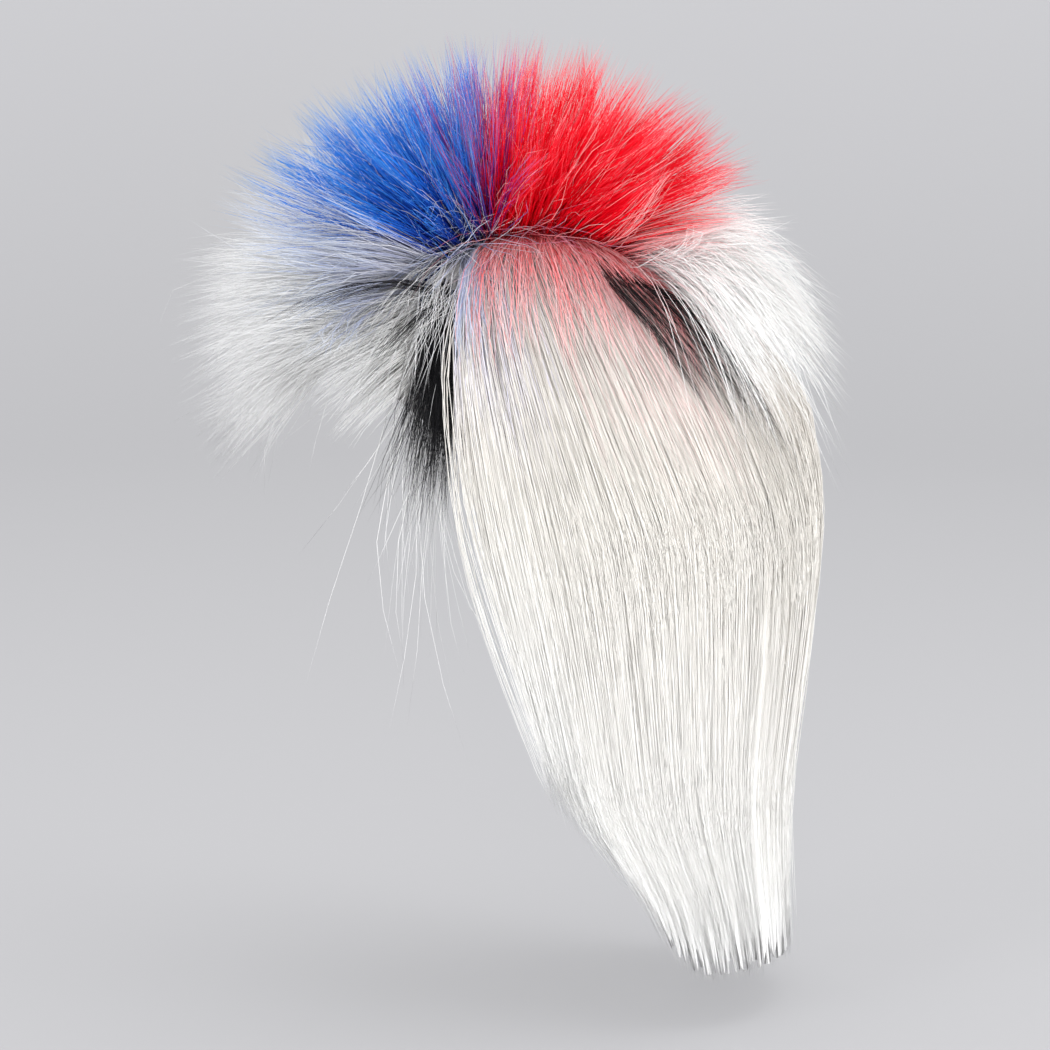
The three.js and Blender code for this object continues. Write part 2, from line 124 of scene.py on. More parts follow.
# The short fur's lie, by its root's place along the head
FRINGE = {
    "y": (-0.91, -0.85, -0.79),
    "reach": (0.34, 0.63, 0.84),
    "lean": (-32, -4, 16),
    "pile": (1.05, 1.12, 1.16),
    "droop": (0.14, 0.16, 0.14),
}
BLUE = {
    "y": (-1.2, -0.9, -0.7, -0.56, -0.41, -0.28),
    "reach": (0.88, 0.88, 0.88, 0.88, 0.88, 0.88),
    "lean": (-14, 10, 30, 47, 64, 82),
    "pile": (0.98, 1.06, 1.12, 1.08, 1.0, 0.98),
    "droop": (0.16, 0.12, 0.08, 0.06, 0.04, 0.02),
}
RED = {
    "y": (-0.16, 0, 0.18, 0.37, 0.75),
    "reach": (0.88, 0.88, 0.88, 0.88, 0.86),
    "lean": (95, 109, 124, 140, 172),
    "pile": (0.97, 0.95, 0.94, 0.9, 0.84),
    "droop": (0.02, 0.03, 0.05, 0.08, 0.14),
}
HALO = {
    "y": (0.54, 0.65, 0.76),
    "reach": (0.86, 0.78, 0.48),
    "lean": (163, 181, 198),
    "pile": (0.84, 0.82, 0.78),
    "droop": (0.14, 0.14, 0.16),
}

# The fringe's ends, by their roots' drops as shares of CROWN_HEIGHT
WING = {
    "down": (0.25, 0.46, 0.57, 0.8),
    "forward": (3.2, 2.4, 1.7, 1.1),
    "out": (1, 1, 0.8, 0.8),
}
WING_LENGTHS = {"down": (0.3, 0.66), "length": (1, 0.48)}

# The loose wisps before the ears
WISPS = {"y": (-62, -38), "drop": (50, 98), "length": (60, 185)}

# Streaks, as places round the curtain and shares of STREAK_DROP
STREAKS = {
    "lock": (0, 1, 2, 3),
    "root": (0.28, 0.32, 0.36, 0.4),
    "tip": (0.45, 0.53, 0.61, 0.69),
    "reach": (0.86, 1, 1.08, 1.14),
}

# The temple's loose locks: how many strands, their roots' drop as a share of CROWN_HEIGHT, heading,
# and length
ARCS = {
    "count": (26, 24),
    "down": (0.36, 0.44),
    "out": (1, 1.3),
    "forward": (1.2, 0.75),
    "up": (0.48, -0.2),
    "length": (1.14, 0.66),
    "droop": (0.4, 0.3),
}
ARC_INSET = 8  # how far their roots lie behind the tuft's front

# The layers of long hair over the back: the strands and locks of each half, where it begins round the
# curtain, the range of its roots' drops and depths, and how they crowd towards the top
REAR = {
    "piece": ("back_strands", "nape_strands"),
    "node": ("back_hair", "nape_mullet"),
    "seed": (50, 60),
    "strands": (950, 340),
    "locks": (180, 80),
    "start": (0.37, 0.55),
    "drops": ((44, 104), (108, 150)),
    "depths": ((0, 3), (26, 38)),
    "crowding": (1.2, 1),
}

# The sheets under the long strands: their span round the curtain, their upper edge's drop, their lower
# edge as a share of the curtain's, and their depth
SHEETS = {
    "layer": ("side", "back", "nape"),
    "span": ((0.05, 0.42), (0.36, 1), (0.58, 1)),
    "top": (34, 48, 116),
    "bottom": (0.985, 0.985, 0.98),
    "depth": (2.7, 3.4, 33),
}

# Strands that stray from their row of short fur: how many, and how far each goes its own way
STRAYS = {"share": 0.045, "lean": 28, "spread": 22, "length": (0.6, 1.1), "frizz": 5}
LEAN_JITTER = 6
SPREAD_JITTER = 7

# Long strands that stray from their lock: how many, and how many times further they sway
LOOSE_SHARE = 0.07
LOOSENESS = 4.5

# Strands: the points of a short and a long one, by the share of their length, and how they narrow
FUR_STEPS = 4
FUR_SHARES = np.linspace(0, 1, FUR_STEPS + 1)
FALL = np.array((0, 0.025, 0.07, 0.15, 0.25, 0.35, 0.45, 0.56, 0.67, 0.78, 0.89, 1))
LIFT_END = 0.16  # share of its fall at which a long strand has left the head
TAPER = {"along": (0, 0.15, 0.6, 1), "width": (0.8, 1, 0.8, 0.3)}
CORNERS = 3
SHEET_COLUMNS = 110
SHEET_ROWS = 13
SHEET_WALL = 1.2
SHEET_RISE = 1.6  # how much nearer to the face of the hair a sheet's lower edge is than its top
SHEET_TEETH = 30  # how far up its ragged lower edge is cut at the most
PLEAT_DEPTH = 0.9
PLEAT_RATES = (90, 170, 310)
CAP_ROUNDS = 72
CAP_STEPS = 20
BACKING_WALL = 1.2
STRAY_ROOM = 8  # how far a loose strand may stand out of the solids' box


def unit(vectors):
    return vectors / np.maximum(np.linalg.norm(vectors, axis=-1, keepdims=True), 1e-9)


def stack(*values):
    """Numbers or arrays as the last axis of one array."""
    return np.stack(np.broadcast_arrays(*values), axis=-1).astype(float)


def columns_at(table, key, at):
    """Reads a table's columns at places in its column `key`."""
    return lambda column: np.interp(at, table[key], table[column])


def near(value, line, reach):
    """Falls from 1 at a line to 0 at `reach` from it."""
    return np.clip(1 - np.abs(value - line) / reach, 0, 1)


def chance(rng, share, strength):
    """For each strand, zero, or with the chance `share` a random strength."""
    hit = rng.random(len(share)) < share
    return hit * rng.uniform(*strength, len(share))


# The head and the curtain


def rim_drop(turn):
    to_back = np.sin(turn)
    reach = np.where(to_back > 0, NAPE_DROP - EAR_DROP, FOREHEAD_DROP - EAR_DROP)
    return EAR_DROP + reach * to_back**2


def rim_angle(drop):
    over = np.arccos(1 - np.minimum(drop, CROWN_HEIGHT) / CROWN_HEIGHT)
    return over + np.maximum(drop - CROWN_HEIGHT, 0) / CROWN_HEIGHT


def head_point(turn, share, out, drop):
    """A point of the head grown by `out`, `share` of the way from the top down to `drop`."""
    angle = share * rim_angle(drop)
    below = np.maximum(0, angle - math.pi / 2) * CROWN_HEIGHT
    level = np.where(below > 0, 1, np.sin(angle))
    tucked = (below / (NAPE_DROP - CROWN_HEIGHT)) ** 2 * np.maximum(0, np.sin(turn))
    x = (HALF_BREADTH + out) * level * np.cos(turn)
    y = (HALF_LENGTH + out) * level * np.sin(turn) - NAPE_TUCK * tucked
    dome = (CROWN_HEIGHT + out) * np.cos(np.minimum(angle, math.pi / 2)) - CROWN_HEIGHT
    return stack(x, y, dome - below)


def dome_point(x, y, out=ROOT_OUT):
    """The point of the upper head over (x, y)."""
    flat = (x / (HALF_BREADTH + out)) ** 2 + (y / (HALF_LENGTH + out)) ** 2
    z = (CROWN_HEIGHT + out) * np.sqrt(np.maximum(0, 1 - flat)) - CROWN_HEIGHT
    return stack(x, y, z)


def side_point(y, drop, side, out=ROOT_OUT):
    """The point of the head's side at one drop."""
    up = np.maximum(0, (CROWN_HEIGHT - drop) / (CROWN_HEIGHT + out))
    rest = 1 - (y / (HALF_LENGTH + out)) ** 2 - up**2
    return stack(side * (HALF_BREADTH + out) * np.sqrt(np.maximum(0, rest)), y, -drop)


EASED_DROPS = np.linspace(0, 1.1, 221)
EASE_REACH = 18


def eased(column):
    """One column of the curtain's sections, as a curve without corners."""
    values = np.interp(EASED_DROPS, CURTAIN["drop"], CURTAIN[column])
    window = np.hanning(2 * EASE_REACH + 1)
    padded = np.pad(values, EASE_REACH, mode="edge")
    return np.convolve(padded, window / window.sum(), "valid")


EASED = {"drop": EASED_DROPS, **{column: eased(column) for column in ("wide", "front", "back")}}


def curtain_point(around, drop, depth, side):
    """A point `depth` under the face of the curtain of long hair."""
    read = columns_at(EASED, "drop", drop / HAIR_DROP)
    turn = np.clip(around, 0, 1) * math.pi / 2
    front = read("front") * CURTAIN_BACK_REACH
    reach = read("back") * CURTAIN_BACK_REACH - depth - front
    x = side * (read("wide") * CURTAIN_HALF_WIDTH - depth) * np.cos(turn) ** SIDE_ROUNDNESS
    return stack(x, front + reach * np.sin(turn) ** BACK_ROUNDNESS, -drop)


def around_at(roots, side):
    """The places round the curtain that lie straight out from roots on the head."""
    places = np.linspace(0, 1, 129)
    face = curtain_point(places[None], -roots[:, 2:], 0, side)
    bearing = np.arctan2(face[..., 1], side * face[..., 0])
    own = np.arctan2(roots[:, 1], side * roots[:, 0])[:, None]
    return places[np.abs(bearing - own).argmin(1)]


# Strands as meshes


def strand_layout(rings):
    """One strand's faces: its loops' vertices, their places in a cell of the bake, and face sizes."""
    loops, places, sizes = [], [], []
    foot = 0.1
    height = [foot + (1 - foot) * ring / rings for ring in range(rings + 1)]
    last = CORNERS * (rings - 1)
    for corner in range(CORNERS):
        after = (corner + 1) % CORNERS
        left, right = corner / CORNERS, (corner + 1) / CORNERS
        for ring in range(rings - 1):
            here, above = CORNERS * ring, CORNERS * (ring + 1)
            loops += [here + corner, here + after, above + after, above + corner]
            places += [(left, height[ring]), (right, height[ring])]
            places += [(right, height[ring + 1]), (left, height[ring + 1])]
            sizes.append(4)
        loops += [last + corner, last + after, CORNERS * rings]
        places += [(left, height[-2]), (right, height[-2]), ((left + right) / 2, 1)]
        sizes.append(3)
    loops += [2, 1, 0]
    places += [(0.9, 0), (0.5, 0.8 * foot), (0.1, 0)]
    sizes.append(3)
    return np.array(loops), np.array(places), np.array(sizes)


def strand_tubes(paths, radius):
    """The points of tapered tubes along `paths`, an array of strands, points and coordinates."""
    count, points, _ = paths.shape
    chord = unit(paths[:, -1] - paths[:, 0])
    nearly_level = np.abs(chord[:, 2:]) < 0.8
    level = np.where(nearly_level, (0, 0, 1), (0, 1, 0))
    reference = unit(np.cross(chord, level))[:, None]
    ahead = unit(np.diff(paths, axis=1))
    tangent = ahead.copy()
    tangent[:, 1:] = unit(ahead[:, 1:] + ahead[:, :-1])
    across = unit(np.cross(tangent, reference))
    up = np.cross(tangent, across)
    taper = np.interp(np.arange(points - 1) / (points - 1), TAPER["along"], TAPER["width"])
    size = radius[:, None, None] * taper[:, None]
    rings = []
    for corner in range(CORNERS):
        angle = 2 * math.pi * corner / CORNERS
        rings.append(paths[:, :-1] + size * (math.cos(angle) * across + math.sin(angle) * up))
    tubes = np.stack(rings, axis=2).reshape(count, -1, 3)
    return np.concatenate([tubes, paths[:, -1:]], axis=1)


def held_in(paths):
    """Shortens the strands that would stand out of the CAD's box by more than STRAY_ROOM."""
    low, high = (np.array(corner) / MM for corner in cad_bounds)
    roots = paths[:, :1]
    reach = paths - roots
    limit = np.where(reach > 0, high + STRAY_ROOM - roots, low - STRAY_ROOM - roots)
    room = np.where(np.abs(reach) > 1, limit / np.where(np.abs(reach) > 1, reach, 1), 1)
    return roots + reach * np.clip(room.min((1, 2), keepdims=True), 0.2, 1)


def strand_piece(name, paths, radius, values):
    """Closed strands. `values` names numbers that the material reads, one for each strand, or a row
    for each strand with one for each of its points."""
    paths = held_in(paths)
    count, points, _ = paths.shape
    rings = points - 1
    vertices = strand_tubes(paths, radius)
    loops, places, sizes = strand_layout(rings)
    first = np.arange(count)[:, None] * vertices.shape[1]
    grid = math.ceil(math.sqrt(count))
    cell = stack(np.arange(count) % grid, np.arange(count) // grid)
    margin = 0.04
    spots = (cell[:, None] + margin + (1 - 2 * margin) * places) / grid

    mesh = bpy.data.meshes.new(name)
    mesh.vertices.add(vertices.shape[0] * vertices.shape[1])
    mesh.vertices.foreach_set("co", (vertices * MM).astype(np.float32).ravel())
    mesh.loops.add(count * len(loops))
    mesh.loops.foreach_set("vertex_index", (first + loops).astype(np.int32).ravel())
    sizes = np.tile(sizes, count)
    mesh.polygons.add(len(sizes))
    mesh.polygons.foreach_set("loop_start", (np.cumsum(sizes) - sizes).astype(np.int32))
    mesh.update(calc_edges=True)
    mesh.uv_layers.new(name="OFBake").data.foreach_set("uv", spots.astype(np.float32).ravel())
    ring_of = np.append(np.repeat(np.arange(rings), CORNERS), rings)
    add_value(mesh, "along", np.tile(np.linspace(0, 1, points)[ring_of], count))
    for key, value in values.items():
        rows = np.broadcast_to(value if value.ndim == 2 else value[:, None], (count, points))
        add_value(mesh, key, rows[:, ring_of])
    mesh.shade_smooth()
    return place(name, mesh)


def add_value(mesh, name, values):
    layer = mesh.attributes.new(name, "FLOAT", "POINT")
    layer.data.foreach_set("value", np.asarray(values, np.float32).ravel())


def place(name, mesh):
    piece = bpy.data.objects.new(name, mesh)
    bpy.context.scene.collection.objects.link(piece)
    return piece


def dress(piece, material, slot, *nodes):
    """Gives a piece its material, its place in the model, and the CAD nodes that it stands for."""
    piece.data.materials.clear()
    piece.data.materials.append(material)
    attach(piece, "root")
    if nodes:
        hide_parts(*nodes)


# Short fur


def bent(roots, headings, lengths, droops):
    """Strands that leave their roots along their headings and droop towards their tips."""
    paths = roots[:, None] + headings[:, None] * (lengths[:, None] * FUR_SHARES)[..., None]
    paths[..., 2] -= (droops * lengths)[:, None] * FUR_SHARES**2
    return paths


def nearest(spots, guides):
    return ((spots[:, None] - guides[None]) ** 2).sum(-1).argmin(1)


def fur_heading(lean, spread):
    lean, spread = np.radians(lean), np.radians(spread)
    upright = np.cos(spread)
    return stack(np.sin(spread), -np.cos(lean) * upright, np.sin(lean) * upright)


def gathered(rng, roots, headings, lengths, droops, clumps, pull, loose=0.2, start=1.3):
    """Drooping strands drawn together into locks towards their tips, and each one's lock."""
    guides = rng.choice(len(roots), clumps, replace=False)
    lock = nearest(roots, roots[guides])
    guide = guides[lock]
    own = bent(roots, headings, lengths, droops)
    drawn_to = bent(roots[guide], headings[guide], lengths, droops[guide])
    drawn = rng.uniform(*pull, len(roots)) * (rng.random(len(roots)) > loose)
    return own + (drawn[:, None] * FUR_SHARES**start)[..., None] * (drawn_to - own), lock


def frizzed(rng, paths, amount):
    """Bends each strand its own way. `amount` is a share of its length, one for all strands or for
    each."""
    count, points, _ = paths.shape
    share = np.linspace(0, 1, points)[None, :, None]
    reach = (amount * np.linalg.norm(paths[:, -1] - paths[:, 0], axis=1))[:, None, None]
    sway = unit(rng.normal(size=(count, 1, 3)))
    bulge = rng.uniform(-1, 1, (count, 1, 1)) * np.sin(math.pi * share)
    curl = rng.uniform(0, 0.8, (count, 1, 1)) * share**2
    kink = rng.normal(size=(count, points, 3)) * 0.12 * share
    return paths + reach * (sway * (bulge + curl) + kink)


def tones(rng, count, lock=None):
    """Each strand's shade, from 0, dark, to 1, light, which it shares in part with its lock."""
    own = rng.beta(2, 2, count)
    if lock is None:
        return own
    return 0.5 * own + 0.5 * rng.beta(1.6, 1.6, lock.max() + 1)[lock]


def joined(bunches):
    """Bunches of strands as one. Each is its paths and its values, and a value that it lacks is 0."""
    keys = sorted({key for _, values in bunches for key in values})
    values = {}
    for key in keys:
        columns = [own.get(key, np.zeros(len(paths))) for paths, own in bunches]
        values[key] = np.concatenate(columns)
    return np.concatenate([paths for paths, _ in bunches]), values


def band_reach(y):
    """Half the band's width at `y`, which narrows where the dome does."""
    return np.minimum(BAND_HALF_WIDTH, HALF_BREADTH * np.sqrt(np.maximum(0.9 - y**2, 0.02)))


def band_fur(rng, table, count, front, back, spread_limit, clumps, pull, wild, arch=0):
    """Short fur of the band over the crown, between two shares of half the head's length. `arch` is
    how much faster its lie changes away from the seam at the band's edges than in its middle."""
    y = rng.uniform(front, back, count)
    x = rng.uniform(-1, 1, count) * band_reach(y)
    roots = dome_point(x, y * HALF_LENGTH)
    row = SEAM_LINE + (y - SEAM_LINE) * (1 + arch * (x / BAND_HALF_WIDTH) ** 2)
    read = columns_at(table, "y", row)
    across = np.clip(x / (read("reach") * BAND_HALF_WIDTH), -1.05, 1.05)
    stray = rng.random(count) < STRAYS["share"]
    lean = read("lean") + rng.normal(0, LEAN_JITTER, count)
    lean = lean + stray * rng.normal(0, STRAYS["lean"], count)
    spread = across * spread_limit * rng.uniform(0.5, 1, count)
    spread = spread + rng.normal(0, SPREAD_JITTER, count)
    spread = spread + stray * rng.normal(0, STRAYS["spread"], count)
    reach = 1 - 0.4 * rng.random(count) ** 1.5
    reach = reach * np.where(stray, rng.uniform(*STRAYS["length"], count), 1)
    lengths = PILE_LENGTH * read("pile") * (1 - EDGE_SHORTENING * np.abs(across)) * reach
    headings = fur_heading(lean, spread)
    droops = read("droop") * rng.uniform(0.6, 1.8, count)
    paths, lock = gathered(rng, roots, headings, lengths, droops, clumps, pull)
    paths = frizzed(rng, paths, wild * np.where(stray, STRAYS["frizz"], 1))
    return paths, {"row": row, "lock": lock, "stray": stray}


# Materials


def node_material(name):
    material = bpy.data.materials.new(name)
    material.use_nodes = True
    tree = material.node_tree
    return material, tree, tree.nodes["Principled BSDF"]


def attribute(tree, name):
    node = tree.nodes.new("ShaderNodeAttribute")
    node.attribute_name = name
    return node.outputs["Fac"]


def ramp(tree, value, stops):
    """A colour ramp through stops of (place, red, green, blue)."""
    node = tree.nodes.new("ShaderNodeValToRGB")
    line = node.color_ramp.elements
    while len(line) < len(stops):
        line.new(0.5)
    for element, (at, *colour) in zip(line, stops):
        element.position = at
        element.color = (*colour, 1)
    tree.links.new(value, node.inputs["Fac"])
    return node.outputs["Color"]


def mixed(tree, factor, first, second, kind="MIX"):
    node = tree.nodes.new("ShaderNodeMix")
    node.data_type = "RGBA"
    node.blend_type = kind
    colours = [socket for socket in node.inputs if socket.type == "RGBA"]
    if isinstance(factor, bpy.types.NodeSocket):
        tree.links.new(factor, node.inputs[0])
    else:
        node.inputs[0].default_value = factor
    tree.links.new(first, colours[0])
    tree.links.new(second, colours[1])
    return [socket for socket in node.outputs if socket.type == "RGBA"][0]


def noise(tree, scale, detail=2):
    node = tree.nodes.new("ShaderNodeTexNoise")
    node.inputs["Scale"].default_value = scale
    node.inputs["Detail"].default_value = detail
    return node.outputs["Fac"]


def fibre(name, stops, tints=(), dark=0.72, roughness=(0.42, 0.65), specular=0.25):
    """Synthetic fibre. `stops` colour a strand from its root to its tip, and a tint is an attribute's
    name with the stops that it brings in. `dark` is how dark the darkest strands are."""
    material, tree, shader = node_material(name)
    along = attribute(tree, "along")
    colour = ramp(tree, along, stops)
    for key, tint_stops in tints:
        colour = mixed(tree, attribute(tree, key), colour, ramp(tree, along, tint_stops))
    tone = ramp(tree, attribute(tree, "shade"), [(0, dark, dark, dark), (1, 1, 1, 1)])
    tree.links.new(mixed(tree, 1, colour, tone, "MULTIPLY"), shader.inputs["Base Color"])
    gloss = tree.nodes.new("ShaderNodeMapRange")
    gloss.inputs["To Min"].default_value, gloss.inputs["To Max"].default_value = roughness
    tree.links.new(noise(tree, 260), gloss.inputs["Value"])
    tree.links.new(gloss.outputs["Result"], shader.inputs["Roughness"])
    shader.inputs["Specular IOR Level"].default_value = specular
    return material


def felt(name, low, high):
    """Dense pile, seen at its roots."""
    material, tree, shader = node_material(name)
    grain = noise(tree, 420, 4)
    tree.links.new(ramp(tree, grain, [(0.3, *low), (0.7, *high)]), shader.inputs["Base Color"])
    bump = tree.nodes.new("ShaderNodeBump")
    bump.inputs["Distance"].default_value = 0.0015
    tree.links.new(grain, bump.inputs["Height"])
    tree.links.new(bump.outputs["Normal"], shader.inputs["Normal"])
    shader.inputs["Roughness"].default_value = 0.95
    return material


WHITE = [(0, 0.94, 0.93, 0.91), (0.4, 0.92, 0.92, 0.91), (1, 0.82, 0.82, 0.83)]
SNOW = [(0, 0.88, 0.87, 0.86), (0.3, 0.95, 0.95, 0.94), (1, 0.98, 0.98, 0.97)]
# The long hair from root to tip. Its cream tone is its own colour. The darker, greyer upper hair is
# painted shade, and the whiter lower hair is painted light.
HAIR_WITH_PAINTED_SHADE = [
    (0, 0.7, 0.64, 0.62),
    (0.18, 0.71, 0.67, 0.63),
    (0.4, 0.79, 0.765, 0.72),
    (0.65, 0.9, 0.885, 0.855),
    (1, 0.98, 0.98, 0.97),
]
BLUE_FADE = [
    (0, 0.006, 0.012, 0.11),
    (0.3, 0.009, 0.045, 0.42),
    (0.6, 0.02, 0.18, 0.8),
    (0.86, 0.045, 0.3, 0.88),
    (1, 0.25, 0.5, 0.88),
]
RED_FADE = [
    (0, 0.96, 0, 0.012),
    (0.2, 1, 0.001, 0.014),
    (0.7, 1, 0.002, 0.018),
    (0.9, 0.9, 0.06, 0.09),
    (1, 0.9, 0.42, 0.46),
]
BLACK = [(0, 0.006, 0.006, 0.008), (0.7, 0.01, 0.01, 0.012), (1, 0.045, 0.045, 0.05)]
PALE_BLUE = [(0, 0.68, 0.7, 0.79), (0.4, 0.86, 0.87, 0.91), (1, 0.93, 0.94, 0.95)]
PALE_RED = [(0, 0.88, 0.14, 0.17), (0.45, 0.92, 0.6, 0.6), (1, 0.94, 0.88, 0.87)]
PURPLE = [(0, 0.05, 0.004, 0.09), (0.6, 0.2, 0.02, 0.3), (1, 0.55, 0.3, 0.62)]
CRIMSON = [(0, 0.2, 0, 0.03), (0.6, 0.6, 0.004, 0.06), (1, 0.75, 0.2, 0.36)]
ULTRAMARINE = [(0, 0.01, 0.005, 0.12), (0.6, 0.04, 0.05, 0.45), (1, 0.3, 0.35, 0.75)]
PINK_HAIR = [(0, 0.8, 0.24, 0.27), (0.25, 0.93, 0.66, 0.65), (1, 0.95, 0.85, 0.84)]
LILAC_HAIR = [(0, 0.3, 0.32, 0.6), (0.2, 0.68, 0.67, 0.84), (1, 0.9, 0.9, 0.95)]

MATERIALS = {
    "white": fibre("white_fibre", WHITE, dark=0.88),
    "black": fibre("black_fibre", BLACK, dark=0.5, roughness=(0.3, 0.5)),
    "blue": fibre(
        "blue_fibre",
        BLUE_FADE,
        [("pale", PALE_BLUE), ("blend", PURPLE), ("other", CRIMSON)],
        dark=0.6,
        specular=0.16,
    ),
    "red": fibre(
        "red_fibre",
        RED_FADE,
        [("pale", PALE_RED), ("blend", PURPLE), ("other", ULTRAMARINE)],
        dark=0.8,
        specular=0.14,
    ),
    "halo": fibre("halo_fibre", SNOW, [("blush", PALE_RED)], dark=0.9),
    # The long hair's ramp carries painted shade on its upper part and painted light lower down.
    "hair": fibre(
        "hair_fibre",
        HAIR_WITH_PAINTED_SHADE,
        [("blush", PINK_HAIR), ("cool", LILAC_HAIR)],
        dark=0.92,
        roughness=(0.6, 0.85),
        specular=0.1,
    ),
    "blue_felt": felt("blue_felt", (0.003, 0.006, 0.04), (0.008, 0.03, 0.17)),
    "red_felt": felt("red_felt", (0.14, 0.001, 0.003), (0.45, 0.004, 0.01)),
    "white_felt": felt("white_felt", (0.66, 0.64, 0.64), (0.86, 0.84, 0.83)),
    "black_felt": felt("black_felt", (0.006, 0.006, 0.008), (0.03, 0.03, 0.034)),
    "knit": felt("knit", (0.7, 0.68, 0.64), (0.85, 0.83, 0.79)),
}


# Pieces of short fur


def fine(rng, count, low=0.13, high=0.22):
    """Radii of strands."""
    return rng.uniform(low, high, count)


def crown_fur(rng, table, count, front, back, clumps, marks, arch=0):
    paths, where = band_fur(
        rng, table, count, front, back, CROWN_SPREAD, clumps, (0.5, 1), 0.04, arch
    )
    return paths, {"shade": tones(rng, count, where["lock"]), **marks(rng, **where)}


def blue_marks(rng, row, lock, stray):
    """White comes in from the front, and red from the seam."""
    whiter = np.clip((-0.7 - row) / 0.12 + 0.5, 0.03, 1)
    odd_lock = rng.random(lock.max() + 1) < 0.12
    pale = np.maximum(chance(rng, whiter + 0.12 * odd_lock[lock], (0.6, 1)), 0.8 * stray)
    seam = near(row, SEAM_LINE, 0.22)
    return {
        "pale": pale,
        "blend": chance(rng, 0.5 * seam, (0.4, 1)),
        "other": chance(rng, 0.4 * seam**2, (0.8, 1)),
    }


def red_marks(rng, row, lock, stray):
    """White comes in from the back, and blue from the seam."""
    whiter = np.clip((row - 0.5) / 0.25 + 0.4, 0.03, 0.95)
    pale = np.maximum(chance(rng, whiter, (0.4, 1)), 0.6 * stray)
    seam = near(row, SEAM_LINE, 0.14)
    return {
        "pale": pale,
        "blend": chance(rng, 0.5 * seam, (0.3, 0.9)),
        "other": chance(rng, 0.35 * seam**2, (0.6, 1)),
    }


def halo_marks(rng, row, lock, stray):
    return {"blush": chance(rng, 0.75 * near(row, RED_END, 0.16), (0.3, 0.9))}


def skirt(rng, half, front, back, lengths, fade):
    """Short strands that fall from the band's edges over the long hair. `fade` names the value that
    colours them and its range."""
    bunches = []
    for side in SIDES.values():
        x = side * BAND_HALF_WIDTH * rng.uniform(0.9, 1.03, half)
        roots = dome_point(x, rng.uniform(front, back, half) * HALF_LENGTH)
        length = lengths[0] + (lengths[1] - lengths[0]) * rng.random(half) ** 1.6
        run = (PILE_LENGTH * length)[:, None] * FUR_SHARES
        turn = around_at(roots, side)[:, None] + rng.normal(0, 0.03, half)[:, None] * FUR_SHARES
        depth = rng.uniform(-5, 0.5, half)[:, None]
        hung = curtain_point(turn, run - roots[:, 2:], depth, side)
        scalp = scalp_under(hung)
        paths = scalp + np.sqrt(np.minimum(1, run / SKIRT_LIFT))[..., None] * (hung - scalp)
        paths[:, 0] = roots
        bunches.append(frizzed(rng, paths, 0.05))
    key, strength = fade
    values = {"shade": tones(rng, 2 * half), key: rng.uniform(*strength, 2 * half)}
    return np.concatenate(bunches), values


def tangle(rng, half, front, back, values):
    """Fine curved strands that stray over the edges of the band."""
    bunches = []
    for side in SIDES.values():
        x = side * BAND_HALF_WIDTH * rng.uniform(0.8, 1.02, half)
        roots = dome_point(x, rng.uniform(front, back, half) * HALF_LENGTH)
        angle = rng.uniform(0, 2 * math.pi, half)
        out = side * rng.uniform(0.5, 1.6, half)
        headings = unit(stack(out, np.cos(angle), np.sin(angle)))
        lengths = PILE_LENGTH * rng.uniform(0.25, 0.6, half)
        strands = bent(roots, headings, lengths, rng.uniform(0, 0.4, half))
        bunches.append(frizzed(rng, strands, 0.14))
    values = {key: rng.uniform(*limits, 2 * half) for key, limits in values.items()}
    return np.concatenate(bunches), values


def mane(rng, count):
    """Strands behind the crown that fall over the long hair."""
    y = rng.uniform(0.42, HALO_END, count)
    x = rng.uniform(-1, 1, count) * band_reach(y)
    roots = dome_point(x, y * HALF_LENGTH)
    lean = rng.normal(162, 10, count)
    spread = x / BAND_HALF_WIDTH * 58 + rng.normal(0, 8, count)
    headings = fur_heading(lean, spread)
    lengths = PILE_LENGTH * rng.uniform(0.75, 1.2, count)
    droops = rng.uniform(0.5, 1.05, count)
    paths, _ = gathered(rng, roots, headings, lengths, droops, 60, (0.2, 0.8))
    blush = chance(rng, 0.4 * near(y, 0.42, 0.2), (0.3, 0.9))
    return frizzed(rng, paths, 0.05), {"shade": tones(rng, count), "blush": blush}


def fur_piece(rng, name, bunches, material, slot, node):
    paths, values = joined(bunches)
    dress(strand_piece(name, paths, fine(rng, len(paths)), values), MATERIALS[material], slot, node)


def blue_crown():
    rng = np.random.default_rng(SEED + 1)
    fur = crown_fur(rng, BLUE, 4700, FRINGE_END, SEAM_LINE + 0.02, 76, blue_marks, 1.1)
    edge = skirt(rng, 240, TEMPLE_END, SEAM_LINE, (0.12, 0.6), ("pale", (0.5, 1)))
    loose = tangle(rng, 90, -0.5, SEAM_LINE, {"shade": (0, 1), "pale": (0.5, 1)})
    fur_piece(rng, "blue_fur", [fur, edge, loose], "blue", "fur_blue", "crown_blue")


def red_crown():
    rng = np.random.default_rng(SEED + 2)
    fur = crown_fur(rng, RED, 4750, SEAM_LINE - 0.02, RED_END, 74, red_marks, 0.35)
    edge = skirt(rng, 700, SEAM_LINE, RED_END, (0.1, 0.72), ("pale", (0.45, 1)))
    loose = tangle(rng, 80, SEAM_LINE, 0.2, {"shade": (0, 1), "pale": (0.3, 1), "blend": (0, 0.5)})
    fur_piece(rng, "red_fur", [fur, edge, loose], "red", "fur_red", "crown_red")


def halo():
    rng = np.random.default_rng(SEED + 3)
    fur = crown_fur(rng, HALO, 1900, RED_END, HALO_END, 70, halo_marks)
    edge = skirt(rng, 260, RED_END, 0.74, (0.2, 0.8), ("blush", (0, 0.4)))
    fur_piece(rng, "halo_fur", [fur, edge, mane(rng, 1300)], "halo", "fur_white", "halo_white")


